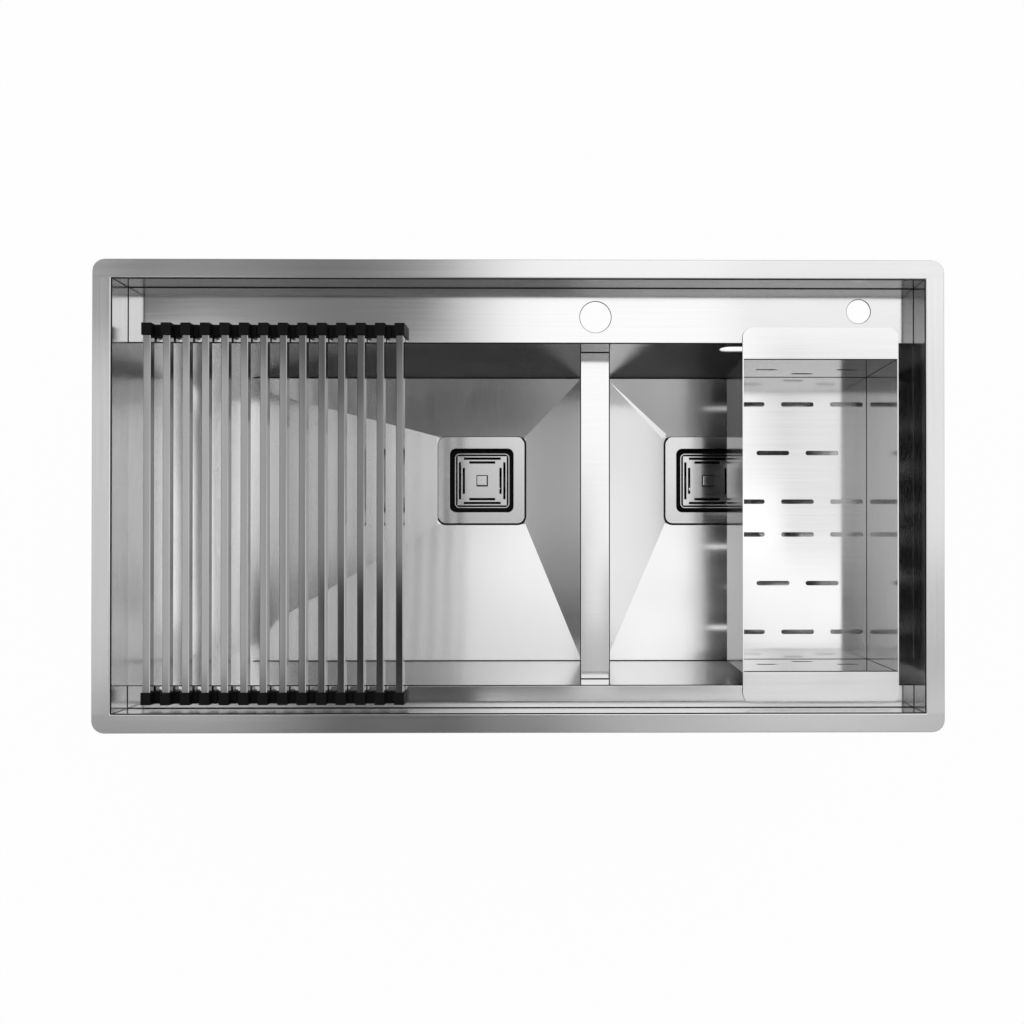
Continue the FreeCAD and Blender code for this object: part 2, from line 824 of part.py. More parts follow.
def rack_caps(index):
    """The front and rear end pieces of one bar."""
    pieces = []
    bar = lying_tube(bar_x(index), bar_side, bar_corner_radius,
                     rack_front + cap_end_wall, rack_rear - cap_end_wall)
    for y0 in (rack_front, rack_rear - cap_length):
        pieces.append(end_cap(index, y0, y0 + cap_length).cut(bar))
    return Part.Compound(pieces)


def build():
    os.makedirs("parts", exist_ok=True)
    save("rim_frame", rim_frame())
    save("front_ledge", front_ledge())
    save("rear_ledge", rear_ledge())
    save("left_bowl", left_bowl_shell())
    save("right_bowl", right_bowl_shell())
    save("divider_bridge", divider_bridge())
    save("left_bowl_pads", bowl_pads(left_bowl, left_drain_x, left_bowl[0], -1))
    save("right_bowl_pads", bowl_pads(right_bowl, right_drain_x, right_bowl[1], 1))
    save("clip_rails", clip_rails())
    save("mounting_clips", clips())
    save("clip_screws", clip_screws())
    for side, x in (("left", left_drain_x), ("right", right_drain_x)):
        save(side + "_drain_flange", drain_flange(x))
        save(side + "_seat_gasket", seat_gasket_ring(x))
        save(side + "_under_gasket", under_gasket_ring(x))
        save(side + "_drain_body", drain_body(x))
        save(side + "_drain_bolt", drain_bolt(x))
        save(side + "_strainer_basket", strainer_basket(x))
        save(side + "_strainer_seal", strainer_seal(x))
        save(side + "_strainer_knob", strainer_knob(x))
    save("colander", colander())
    for index in range(bar_count):
        save("rack_bar_%02d" % (index + 1), rack_bar(index))
        save("rack_caps_%02d" % (index + 1), rack_caps(index))


build()
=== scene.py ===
import json
import math

import bmesh
import bpy
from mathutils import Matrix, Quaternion, Vector

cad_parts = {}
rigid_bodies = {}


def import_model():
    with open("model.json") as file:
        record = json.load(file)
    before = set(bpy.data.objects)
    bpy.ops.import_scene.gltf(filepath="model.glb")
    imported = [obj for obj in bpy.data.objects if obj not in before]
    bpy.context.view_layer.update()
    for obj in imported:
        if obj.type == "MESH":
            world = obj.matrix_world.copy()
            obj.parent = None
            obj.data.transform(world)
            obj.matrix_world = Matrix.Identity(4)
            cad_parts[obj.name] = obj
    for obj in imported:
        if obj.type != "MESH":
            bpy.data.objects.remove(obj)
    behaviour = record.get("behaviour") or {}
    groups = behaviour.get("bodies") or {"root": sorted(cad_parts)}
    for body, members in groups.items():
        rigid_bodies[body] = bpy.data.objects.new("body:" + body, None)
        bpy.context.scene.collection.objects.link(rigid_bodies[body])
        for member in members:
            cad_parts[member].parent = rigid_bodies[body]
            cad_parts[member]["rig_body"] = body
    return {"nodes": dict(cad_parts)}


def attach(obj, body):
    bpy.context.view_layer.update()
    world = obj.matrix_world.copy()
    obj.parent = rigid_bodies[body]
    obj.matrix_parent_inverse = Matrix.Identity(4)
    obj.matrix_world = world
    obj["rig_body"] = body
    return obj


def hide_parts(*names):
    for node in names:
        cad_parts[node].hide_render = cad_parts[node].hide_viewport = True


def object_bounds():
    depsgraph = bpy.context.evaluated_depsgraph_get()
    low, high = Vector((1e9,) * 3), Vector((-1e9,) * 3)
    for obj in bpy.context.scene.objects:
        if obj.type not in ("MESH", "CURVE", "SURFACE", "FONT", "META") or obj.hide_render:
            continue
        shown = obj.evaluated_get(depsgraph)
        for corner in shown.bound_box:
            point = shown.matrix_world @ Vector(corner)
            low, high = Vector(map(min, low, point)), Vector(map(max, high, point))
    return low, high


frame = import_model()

CAD_BOX = [list(corner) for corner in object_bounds()]

# Camera, found from the straight edges of the sink
CAMERA_PLACE = (0.07017, -0.05063, 0.76627)
CAMERA_TURN = (0.0037, -0.0063, -0.0001)
CAMERA_LENS, CAMERA_SENSOR = 25.47, 36.0
CAMERA_SHIFT = (-0.0768, 0.0285)

# Sizes in metres
MM = 0.001
SHEET = 1.2 * MM
SAME = 1e-6
FLOOR_HALF = 6.0
FLOOR_GAP = 0.5 * MM
FOLD_LENGTH = 4.0 * MM

# Radii of folds, slot ends and eased edges in metres, and their segments
FOLD_RADIUS, RIM_EASE = 1.0 * MM, 1.0 * MM
STRAINER_SLOT_END, COLANDER_SLOT_END = 1.45 * MM, 2.7 * MM
EDGE_RADIUS, LEDGE_EDGE, COLANDER_EDGE, FLANGE_EDGE = 0.25 * MM, 0.45 * MM, 0.3 * MM, 0.4 * MM
BASKET_EDGE, KNOB_EDGE, MOULDED_EDGE, PAD_EDGE = 0.15 * MM, 0.5 * MM, 0.5 * MM, 0.6 * MM
FOLD_SEGMENTS, EDGE_SEGMENTS = 4, 2

# Angles between faces in degrees, past which an edge is kept, bent, eased on a piece with
# bends, eased on any other piece, and shaded as sharp
FLAT, BENT, EASED_FOLDED, EASED, SHARP = 0.4, 2.9, 30, 25, 31

# Places in millimetres, as in the CAD source
RIM_TOP = 1.2
OPENING_X, OPENING_Y, OPENING_PLAY = 430.8, 230.25, 0.1
RIM_X, RIM_Y, RIM_CORNER = 450.0, 250.0, 13.0
LEDGE_TOP = -28.8
BOWL_REAR, BOWL_FRONT = 170.25, -206.25
WALL_BASE = -198.8
# The divider's left and right faces, and its top
DIVIDER = (64.2, 96.7, -69.3)
# How far the left bowl's left facet falls, and over what length, and the front and rear ones' slopes
FLOOR_FALL = (10.0, 301.5)
FACET_FALLS = (0.0549, 0.1306)
DRAIN_Y = 34.65
DRAINS = {"left": -70.3, "right": 234.6}
SEAT_HALF = 59.0
FLANGE_SIDE, FLANGE_RADIUS, FLANGE_TOP = 117.4, 10.7, -208.8
PLATE_TOP = -213.8
SKIRT_SIDE, LIP_SIDE, KNOB_SIDE = 69.0, 84.4, 13.5
COLANDER_X = (243.3, 412.4)
COLANDER_Y = (-191.0, 152.6)
COLANDER_FLANGES = (-225.7, 187.3)
COLANDER_TOP, COLANDER_FLOOR = -27.3, -115.3
COLANDER_SIDES, COLANDER_CORNER, COLANDER_CORNER_STEPS = (242.1, 413.6), 11.5, 6
# Tap holes: X, Y and radius
TAP_HOLES = ((80.45, 198.55, 17.5), (370.2, 205.15, 13.5))
RACK_BARS = 14

# Edges at the ends of slots: lowest and highest point, axis through the sheet and its thickness
STRAINER_SLOTS = (PLATE_TOP - 1.5, PLATE_TOP + 0.1, 2, 1.0)
COLANDER_FLOOR_SLOTS = (-117, -115, 2, 1.2)
COLANDER_WALL_SLOTS = (-110, -35, 1, 1.2)
SLOT_END_PLAY = 0.02

# Threads in millimetres: crest and root radius, pitch, lowest and highest point, steps in a turn
SPIGOT = (23.9, 22.4, 2.309, -282.4, -262.0, 48)
BOLT = (4.0, 3.4, 1.25, -271.0, -236.6, 12)
CLIP_SCREW = (2.0, 1.6, 1.0, -60.6, -38.6, 10)
# Half widths of a thread's ridge at its foot and crest in pitches, and how deep its foot is set
THREAD_FOOT, THREAD_CREST, THREAD_SET = 0.42, 0.06, 0.1
# What is still shank: distance from the crest radius, and height over the thread
SHANK_PLAY, SHANK_RISE = 0.05, 4
# The bolt's driver slot: top, half length, half width and depth
DRIVER_SLOT = (-231.8, 5.2, 0.9, 1.6)

# The wide curve at the left bowl's left wall: width and height, steps along it, rows over the
# front and the rear facet, how far it hides in the sheet, its thickness and its lap past the walls
SWEEP = (95.0, 60.0)
SWEEP_STEPS, SWEEP_FRONT_ROWS, SWEEP_REAR_ROWS = 28, 8, 6
SWEEP_HIDDEN, SWEEP_THICK, SWEEP_LAP = 0.3, 0.9, 0.6

# The soft crease: share of the way from corner to drain, and half its width there
CREASE = ((0.09, 0.4), (0.5, 2.0), (1.0, 4.0))
CREASE_LIFT = 0.06

# Rings round the strainer: side, corner radius and height of each point of the section
LIP_SECTION = [(LIP_SIDE - 0.8, 7.5, -217.6), (LIP_SIDE, 7.8, -218.6), (LIP_SIDE - 0.8, 7.5, -219.4),
               (SKIRT_SIDE + 3, 5.5, -217.6), (SKIRT_SIDE + 0.1, 5.0, -218.2),
               (SKIRT_SIDE + 0.1, 5.0, -215.6), (SKIRT_SIDE + 3, 5.5, -215.7)]
# The washer under the knob: real rubber, and its dark rim stands in for the knob's shade
WASHER_SECTION = [(KNOB_SIDE + 1.9, 1.2, PLATE_TOP + 0.7), (KNOB_SIDE + 1.9, 1.2, PLATE_TOP),
                  (6.6, 0.6, PLATE_TOP), (6.6, 0.6, PLATE_TOP + 0.7)]
# The groove round the strainer's plate, drawn as a dark rod of painted shade: side, corner radius, depth and line
# radius
GROOVE = (68.8, 4.5, 1.2, 0.85)

# Dark lines of painted shade in folds and at welds: the radius of each, and how far under its edge it runs
LINE_INSET, RIM_LINE_INSET, COLANDER_CORNER_INSET = 0.1, 0.15, 0.05
LINE_RADIUS = {
    "rim": 0.8, "step corner": 0.5, "ledge end": 0.55, "ledge": 0.8, "wall foot": 0.9,
    "divider side": 0.85, "divider corner": 0.4, "divider end": 0.8, "tap hole": 0.4,
    "flange": 0.45, "flange shade": 1.7, "outer edge": 0.35,
    "tray foot": 0.4, "tray fold": 0.8, "tray corner": 0.3, "tray flange": 0.3,
}
LINE_DEPTH = {
    "rim": 1.6, "step corner": 1.3, "bowl edge": 1.1, "divider side": 0.9, "divider corner": 1.0,
    "tap hole": 0.7, "flange": 0.35, "flange shade": 0.85, "outer edge": 0.5,
    "tray fold": 1.0, "tray flange": 0.8,
}
# The gap round a flange, and the first and last point of its outline that are in shade
FLANGE_GAP = 0.3
FLANGE_SHADE = {"left": (13, 28), "right": (8, 23)}

# Normals of sheet: it stands on edge past the first, slopes past the second, lies flat past the third
STANDING, SLOPING, LYING = 0.6, 0.03, 0.9
DOWNWARD = -0.5
# Parts of a noise's range that are spread over the whole range
MIDDLE, WIDE, DUSTY = (0.35, 0.65), (0.3, 0.7), (0.45, 0.75)
# Brush lines: width and length of the fine and the broad ones, their shares, and their depth
FINE_LINES, BROAD_LINES = (0.5 * MM, 60 * MM), (2.6 * MM, 260 * MM)
FINE_SHARE, BROAD_SHARE = 0.4, 0.6
LINE_HEIGHT = 0.1 * MM
DARK_WARMTH, LIGHT_WARMTH = 0.002, 0.001
PATCH_SCALE, PATCH_GLOSS = 9.0, 0.015
# Noises: scale, detail and roughness
MILL_MOTTLE, RUBBER_DUST = (16.0, 5.0, 0.65), (60.0, 4.0, 0.65)
ZINC_BLOTCHES, SHADE_SPECKLE = (120.0, 4.0, 0.6), (300.0, 3.0)
# Mill finish: its greys, how warm the lighter one is, and its roughness
MILL_GREYS, MILL_WARMTH, MILL_ROUGHNESS = (0.44, 0.60), 0.002, (0.30, 0.40)
# Dull metal in holes, its darkness painted shade: its greys and roughness, and half the height over which it
# starts
HOLE_SHADE_GREYS, DULL_ROUGHNESS, DULL_EDGE = (0.05, 0.08), 0.5, 0.1 * MM
# Painted shade for the dark lines in folds and gaps: its greys, roughness and specular level
SHADE_GREYS, SHADE_ROUGHNESS, SHADE_SPECULAR = (0.006, 0.016), (0.5, 0.65), 0.2
RUBBER_DETAIL, RUBBER_DUST_GAIN, RUBBER_SPREAD, RUBBER_SPECULAR = 3.0, 1.5, 0.08, 0.12
PLASTIC_GRAIN, PLASTIC_FLOW, PLASTIC_FLOW_GAIN = 0.6 * MM, 25.0, 1.4
PLASTIC_ROUGHNESS, PLASTIC_BUMP = (0.38, 0.52), (0.2, 0.08 * MM)
ZINC_COLOURS, ZINC_ROUGHNESS = ((0.50, 0.51, 0.54, 1), (0.66, 0.67, 0.69, 1)), (0.34, 0.48)
FLOOR_CLOUDS, FLOOR_GREYS, FLOOR_GLOW = 1.5, (0.84, 0.88), 0.97
WHITE = (1, 1, 1, 1)

# Soft boxes over the sink, as slopes from the vertical: X from and to, Y from and to,
# softness of the edge, and strength
SOFT_BOXES = [
    (-0.18, 0.28, 0.03, 2.50, 0.22, 1.28),
    (0.20, 2.70, 0.25, 2.50, 0.10, 1.18),
    (0.27, 0.46, -0.12, 0.30, 0.06, 0.90),
    (0.42, 2.70, -0.04, 0.35, 0.10, 1.12),
    (0.00, 2.60, 0.70, 2.70, 0.60, 1.80),
    (-2.70, -0.80, -0.60, 1.80, 0.50, 1.25),
    (-0.84, -0.64, -0.30, 0.45, 0.10, 0.36),
    (-0.635, -0.47, -0.20, 0.28, 0.06, 1.25),
    (-0.49, -0.39, -0.20, 0.26, 0.06, 0.95),
    (-0.40, -0.22, -0.04, 0.20, 0.06, 0.50),
    (-0.25, -0.02, -0.035, 0.17, 0.03, 0.90),
    (-0.255, -0.165, -0.035, 0.26, 0.06, 0.98),
    (-0.60, -0.12, 0.20, 0.52, 0.12, 0.22),
    (-0.66, -0.10, -0.32, -0.18, 0.10, 0.11),
    (-0.66, -0.02, -0.44, -0.31, 0.06, 0.30),
    (-0.02, 0.62, -0.44, -0.31, 0.06, 0.80),
    (-0.15, 0.70, -0.235, -0.205, 0.02, 1.35),
    (0.00, 0.28, -0.035, 0.10, 0.03, 1.28),
    (-0.01, 0.035, -0.12, 0.05, 0.03, 1.20),
    (-0.02, 0.045, -0.20, -0.10, 0.02, 0.65),
    (0.185, 0.44, -0.165, 0.00, 0.05, 1.20),
    (0.05, 0.80, -0.37, -0.18, 0.05, 0.60),
    (0.00, 0.19, -0.20, -0.05, 0.04, 0.24),
    (0.44, 0.90, -0.20, 0.05, 0.08, 0.45),
    (0.90, 4.50, -0.60, 0.35, 0.40, 1.50),
]
# The room round the boxes: the slopes over which it grows lighter, and its strength there
ROOM_SLOPES = (1.0, 2.8)
ROOM_STRENGTH = (0.03, 0.75)
LEAST_RISE = 0.02


# Node helpers


class Nodes:
    """A node tree with short ways to add and join nodes."""

    def __init__(self, owner):
        owner.use_nodes = True
        self.tree = owner.node_tree
        self.tree.nodes.clear()

    def add(self, kind, **values):
        node = self.tree.nodes.new(kind)
        for name, value in values.items():
            setattr(node, name, value)
        return node

    def put(self, socket, value):
        """Joins an output to a socket, or sets the socket's own value."""
        if isinstance(value, bpy.types.NodeSocket):
            self.tree.links.new(value, socket)
        else:
            socket.default_value = value

    def math(self, operation, a, b=0.0, clamp=False):
        node = self.add("ShaderNodeMath", operation=operation, use_clamp=clamp)
        self.put(node.inputs[0], a)
        self.put(node.inputs[1], b)
        return node.outputs[0]

    def beyond(self, value, limit):
        """1 where the value is past the limit on either side of 0."""
        return self.math("GREATER_THAN", self.math("ABSOLUTE", value), limit)

    def within(self, value, limit):
        """1 where the value is nearer to 0 than the limit."""
        return self.math("LESS_THAN", self.math("ABSOLUTE", value), limit)

    def vector(self, operation, a, b=(0.0, 0.0, 0.0)):
        node = self.add("ShaderNodeVectorMath", operation=operation)
        self.put(node.inputs[0], a)
        self.put(node.inputs[1], b)
        return node.outputs[0]

    def combine(self, x, y, z):
        node = self.add("ShaderNodeCombineXYZ")
        for socket, value in zip(node.inputs, (x, y, z)):
            self.put(socket, value)
        return node.outputs[0]

    def separate(self, vector):
        node = self.add("ShaderNodeSeparateXYZ")
        self.put(node.inputs[0], vector)
        return list(node.outputs)

    def place(self):
        return self.add("ShaderNodeTexCoord").outputs["Object"]

    def ramp(self, value, low, high, to_low, to_high):
        """The value mapped smoothly from one range to another."""
        node = self.add("ShaderNodeMapRange", interpolation_type="SMOOTHSTEP")
        for socket, v in zip(node.inputs, (value, low, high, to_low, to_high)):
            self.put(socket, v)
        return node.outputs[0]

    def pick(self, factor, a, b):
        """Vector a where the factor is 0 and b where it is 1."""
        node = self.add("ShaderNodeMix", data_type="VECTOR")
        self.put(node.inputs[0], factor)
        self.put(node.inputs[4], a)
        self.put(node.inputs[5], b)
        return node.outputs[1]

    def tint(self, factor, a, b):
        """Colour a where the factor is 0 and b where it is 1."""
        node = self.add("ShaderNodeMix", data_type="RGBA")
        self.put(node.inputs[0], factor)
        self.put(node.inputs[6], a)
        self.put(node.inputs[7], b)
        return node.outputs[2]

    def noise(self, vector, scale, detail=2.0, roughness=0.5):
        node = self.add("ShaderNodeTexNoise")
        self.put(node.inputs["Vector"], vector)
        node.inputs["Scale"].default_value = scale
        node.inputs["Detail"].default_value = detail
        node.inputs["Roughness"].default_value = roughness
        return node.outputs["Fac"]

    def bump(self, height, strength, distance):
        node = self.add("ShaderNodeBump")
        node.inputs["Strength"].default_value = strength
        node.inputs["Distance"].default_value = distance
        self.put(node.inputs["Height"], height)
        return node.outputs["Normal"]

    def background(self, strength):
        node = self.add("ShaderNodeBackground")
        node.inputs["Color"].default_value = WHITE
        self.put(node.inputs["Strength"], strength)
        return node.outputs[0]

    def mix(self, factor, a, b):
        """Shader a where the factor is 0 and b where it is 1."""
        node = self.add("ShaderNodeMixShader")
        for socket, value in zip(node.inputs, (factor, a, b)):
            self.put(socket, value)
        return node.outputs[0]

    def surface(self, shader, output="ShaderNodeOutputMaterial"):
        self.put(self.add(output).inputs["Surface"], shader)

    def principled(self, colour, roughness, normal=None, **fixed):
        """Ends the tree in a Principled shader: fixed gives its constant sockets, with _ for a space."""
        shader = self.add("ShaderNodeBsdfPrincipled")
        self.put(shader.inputs["Base Color"], colour)
        self.put(shader.inputs["Roughness"], roughness)
        if normal is not None:
            self.put(shader.inputs["Normal"], normal)
        for name, value in fixed.items():
            shader.inputs[name.replace("_", " ")].default_value = value
        self.surface(shader.outputs[0])
        return shader


def grey(level, warmth=0.0):
    return (level * (1 + warmth), level, level * (1 - warmth), 1.0)


def new_material(name):
    material = bpy.data.materials.new(name)
    return material, Nodes(material)


# Materials


def brushed_steel(name, grain, level, roughness, stretch=0.6, bow=0.0, relief=0.012,
                  painted_top_light=None, across=None, dull_and_shaded_below=None, mill_outside=False):
    """Brushed sheet of a grey level, with lines of a relief drawn out along its grain.

    A sheet that slopes to the front or rear is bowed by the angle bow, as a folded sheet is.
    A face that points up takes the lighter level given for it, painted light, and a sheet that
    stands across the brush takes the level across, painted shade. Metal is dull below a given
    height, with dark greys painted as shade in holes and slots. Outside, a bowl
    keeps its dull, mottled mill finish.
    """
    material, n = new_material(name)
    place = n.place()
    normal = n.add("ShaderNodeNewGeometry").outputs["Normal"]
    x, y, z = n.separate(place)
    normal_x, normal_y, normal_z = n.separate(normal)
    turned = turned_brush(n, grain, x, y, normal_x, normal_y)
    lines = n.math("ADD", n.math("MULTIPLY", streaks(n, x, y, z, turned, *FINE_LINES), FINE_SHARE),
                   n.math("MULTIPLY", streaks(n, x, y, z, turned, *BROAD_LINES), BROAD_SHARE))
    tone = n.ramp(lines, *MIDDLE, 0.0, 1.0)
    bright = lined_grey(n, tone, level, relief)
    rough = n.math("ADD", n.ramp(lines, *MIDDLE, roughness - relief, roughness + relief),
                   n.ramp(n.noise(place, PATCH_SCALE), *WIDE, -PATCH_GLOSS, PATCH_GLOSS))
    # Painted light: a face that points up is given a lighter grey
    if painted_top_light is not None:
        lying = n.math("GREATER_THAN", normal_z, LYING)
        bright = n.tint(lying, bright, lined_grey(n, tone, painted_top_light, relief))
    # Painted shade: a sheet that stands across the brush takes the level across
    if across is not None:
        bright = n.tint(turned, bright, lined_grey(n, tone, across, relief))
    if mill_outside:
        outside = outside_bowls(n, x, y, z, normal_z)
        mottle = n.ramp(n.noise(place, *MILL_MOTTLE), *MIDDLE, 0.0, 1.0)
        scuffs = n.math("MULTIPLY", n.math("ADD", mottle, tone), 0.5)
        dark, light = MILL_GREYS
        bright = n.tint(outside, bright, n.tint(scuffs, grey(dark), grey(light, MILL_WARMTH)))
        matt = n.math("MULTIPLY", outside, n.ramp(mottle, 0.0, 1.0, *MILL_ROUGHNESS))
        rough = n.math("MAXIMUM", rough, matt)
    # Painted shade: below the height the metal turns dark, as well as rougher
    if dull_and_shaded_below is not None:
        dull = n.ramp(z, dull_and_shaded_below - DULL_EDGE, dull_and_shaded_below + DULL_EDGE, 1.0, 0.0)
        dark, light = HOLE_SHADE_GREYS
        bright = n.tint(dull, bright, n.tint(tone, grey(dark), grey(light)))
        rough = n.math("MAXIMUM", rough, n.math("MULTIPLY", dull, DULL_ROUGHNESS))
    bumped = n.bump(lines, relief, LINE_HEIGHT)
    if bow:
        facet = n.math("MULTIPLY", n.beyond(normal_y, SLOPING), n.within(normal_y, STANDING))
        lean = n.math("MULTIPLY", n.math("MULTIPLY", n.math("SIGN", normal_y), bow), facet)
        bumped = n.vector("NORMALIZE", n.vector("ADD", bumped, n.combine(0.0, lean, 0.0)))
    shader = n.principled(bright, rough, bumped, Metallic=1.0, Anisotropic=stretch)
    brush = n.pick(turned, (1.0, 0.0, 0.0), (0.0, 1.0, 0.0))
    n.put(shader.inputs["Tangent"], n.vector("CROSS_PRODUCT", normal, brush))
    return material


def turned_brush(n, grain, x, y, normal_x, normal_y):
    """1 where the brush ran along Y, and 0 where it ran along X.

    The grain is X or Y, and turns on a sheet that stands across it. The rim's runs along each
    of its four sides. A bowl's facets have grain Y, other than the one right of the drain.
    """
    if grain == "Y":
        return n.within(normal_y, STANDING)
    if grain == "facets":
        right_facet = n.math("MULTIPLY", n.math("LESS_THAN", normal_x, -SLOPING),
                             n.math("GREATER_THAN", normal_x, -STANDING))
        return n.math("SUBTRACT", n.within(normal_y, STANDING), right_facet, clamp=True)
    turned = n.beyond(normal_x, STANDING)
    if grain == "rim":
        sides = n.math("MULTIPLY", n.beyond(x, OPENING_X * MM), n.within(y, OPENING_Y * MM))
        turned = n.math("MAXIMUM", turned, sides)
    return turned


def streaks(n, x, y, z, turned, width, length):
    """Noise drawn out along the brush."""
    across, along = 1 / width, 1 / length
    cross = n.math("MULTIPLY", z, across)
    along_x = n.combine(n.math("MULTIPLY", x, along), n.math("MULTIPLY", y, across), cross)
    along_y = n.combine(n.math("MULTIPLY", x, across), n.math("MULTIPLY", y, along), cross)
    return n.noise(n.pick(turned, along_x, along_y), 1.0)


def lined_grey(n, tone, level, relief):
    """Grey that the brush lines make slightly darker and lighter, and hardly warm."""
    return n.tint(tone, grey(level - relief, DARK_WARMTH), grey(level + relief, LIGHT_WARMTH))


def outside_bowls(n, x, y, z, normal_z):
    """1 on the outer faces of the two bowls."""
    skin = SHEET / 2
    left, right, top = (value * MM for value in DIVIDER)
    between = n.math("MULTIPLY", n.math("GREATER_THAN", x, left + skin), n.math("LESS_THAN", x, right - skin))
    between = n.math("MULTIPLY", between, n.math("LESS_THAN", z, top - 2 * skin))
    outside = n.beyond(x, OPENING_X * MM + skin)
    for face in (n.math("GREATER_THAN", y, BOWL_REAR * MM + skin),
                 n.math("LESS_THAN", y, BOWL_FRONT * MM - skin),
                 n.math("LESS_THAN", normal_z, DOWNWARD), between):
        outside = n.math("MAXIMUM", outside, face)
    return outside


def fold_shade(name):
    """Painted shade: near-black, unpolished metal for the dark lines where folds, welds and gaps lie in shade."""
    material, n = new_material(name)
    shade_speckle = n.noise(n.place(), *SHADE_SPECKLE)
    dark, light = SHADE_GREYS
    n.principled(n.tint(shade_speckle, grey(dark), grey(light)), n.ramp(shade_speckle, *WIDE, *SHADE_ROUGHNESS),
                 Specular_IOR_Level=SHADE_SPECULAR)
    return material


def rubber(name, level, roughness, grain_size, bump=0.25):
    """Silicone or rubber with a fine matt grain."""
    material, n = new_material(name)
    place = n.place()
    grain = n.noise(place, 1 / grain_size, RUBBER_DETAIL)
    dust = n.ramp(n.noise(place, *RUBBER_DUST), *DUSTY, 0.0, 1.0)
    n.principled(n.tint(dust, grey(level), grey(level * RUBBER_DUST_GAIN)),
                 n.ramp(grain, *WIDE, roughness - RUBBER_SPREAD, roughness + RUBBER_SPREAD),
                 n.bump(grain, bump, LINE_HEIGHT), Specular_IOR_Level=RUBBER_SPECULAR)
    return material


def moulded_plastic(name, level):
    """Injection-moulded plastic with a sparked grain."""
    material, n = new_material(name)
    place = n.place()
    grain = n.noise(place, 1 / PLASTIC_GRAIN)
    flow = n.noise(place, PLASTIC_FLOW)
    n.principled(n.tint(flow, grey(level), grey(level * PLASTIC_FLOW_GAIN)),
                 n.ramp(grain, *WIDE, *PLASTIC_ROUGHNESS), n.bump(grain, *PLASTIC_BUMP))
    return material


def zinc(name):
    """Zinc plating: dull, with faint blotches."""
    material, n = new_material(name)
    blotches = n.noise(n.place(), *ZINC_BLOTCHES)
    n.principled(n.tint(n.ramp(blotches, *MIDDLE, 0.0, 1.0), *ZINC_COLOURS),
                 n.ramp(blotches, *WIDE, *ZINC_ROUGHNESS), Metallic=1.0)
    return material


# Pieces: copies of the frame's solids with real folds and eased edges, and trim built on them


def clean_mesh(node):
    """The node's mesh as a bmesh of whole flat faces."""
    bm = bmesh.new()
    bm.from_mesh(frame["nodes"][node].data)
    bmesh.ops.remove_doubles(bm, verts=bm.verts, dist=2 * SAME)
    bmesh.ops.dissolve_limit(bm, angle_limit=math.radians(FLAT), verts=bm.verts, edges=bm.edges)
    bmesh.ops.recalc_face_normals(bm, faces=bm.faces)
    return bm


def ease(bm, least_angle, test, width, segments):
    """Rounds the edges that are sharper than an angle in degrees and pass a test."""
    edges = [e for e in bm.edges if len(e.link_faces) == 2
             and e.calc_face_angle(0.0) > math.radians(least_angle) and test(e)]
    if edges:
        bmesh.ops.bevel(bm, geom=edges, offset=width, segments=segments, profile=0.5,
                        affect="EDGES", clamp_overlap=True, offset_type="OFFSET")


def ends(edge):
    return edge.verts[0].co, edge.verts[1].co


def is_fold(edge):
    a, b = ends(edge)
    return (a - b).length > FOLD_LENGTH


def is_rim_fold(edge):
    """Whether an edge is the bend from the rim's top down into its opening."""
    a, b = ends(edge)
    middle = (a + b) / 2
    at_opening = (abs(middle.x) < (OPENING_X + OPENING_PLAY) * MM
                  and abs(middle.y) < (OPENING_Y + OPENING_PLAY) * MM)
    return is_fold(edge) and max(a.z, b.z) > (RIM_TOP - OPENING_PLAY) * MM and at_opening


def slot_end(low, high, axis, length):
    """Picks the short edges through a sheet between two heights, where a slot's ends are rounded."""
    def test(edge):
        a, b = ends(edge)
        along = abs((a - b)[axis])
        inside = low * MM < min(a.z, b.z) and max(a.z, b.z) < high * MM
        return inside and abs(along - length * MM) < SLOT_END_PLAY * MM and (a - b).length < along + SAME
    return test


def make_piece(name, bm, material, body):
    mesh = bpy.data.meshes.new(name)
    bm.to_mesh(mesh)
    bm.free()
    mesh.materials.append(material)
    piece = bpy.data.objects.new(name, mesh)
    bpy.context.scene.collection.objects.link(piece)
    for polygon in mesh.polygons:
        polygon.use_smooth = True
    mesh.set_sharp_from_angle(angle=math.radians(SHARP))
    weighted = piece.modifiers.new("weighted", "WEIGHTED_NORMAL")
    weighted.keep_sharp = True
    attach(piece, body)
    return piece


def dress(node, material, folds=(), edge=EDGE_RADIUS, also=None):
    """A finer copy of a node that stands for it.

    Each of the folds is a test for edges and the radius that they are bent to. The other edges
    are eased by the radius edge, and also adds detail to the mesh.
    """
    bm = clean_mesh(node)
    for test, radius in folds:
        ease(bm, BENT, test, radius, FOLD_SEGMENTS)
    if edge:
        ease(bm, EASED_FOLDED if folds else EASED, lambda e: True, edge, EDGE_SEGMENTS)
    if also:
        also(bm)
    piece = make_piece(node + "_form", bm, material, frame["nodes"][node]["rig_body"])
    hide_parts(node)


def add_trim(name, bm, material, body):
    """A piece that no node stands for, with its faces turned outwards."""
    bmesh.ops.recalc_face_normals(bm, faces=bm.faces)
    make_piece(name, bm, material, body)


def join_rings(bm, rings):
    """Walls between each ring of points and the next."""
    for a, b in zip(rings, rings[1:]):
        for k in range(len(a)):
            j = (k + 1) % len(a)
            bm.faces.new((a[k], a[j], b[j], b[k]))


def close_tube(bm, rings):
    """Walls between the rings, and a face over each end."""
    join_rings(bm, rings)
    bm.faces.new(rings[0])
    bm.faces.new(rings[-1])


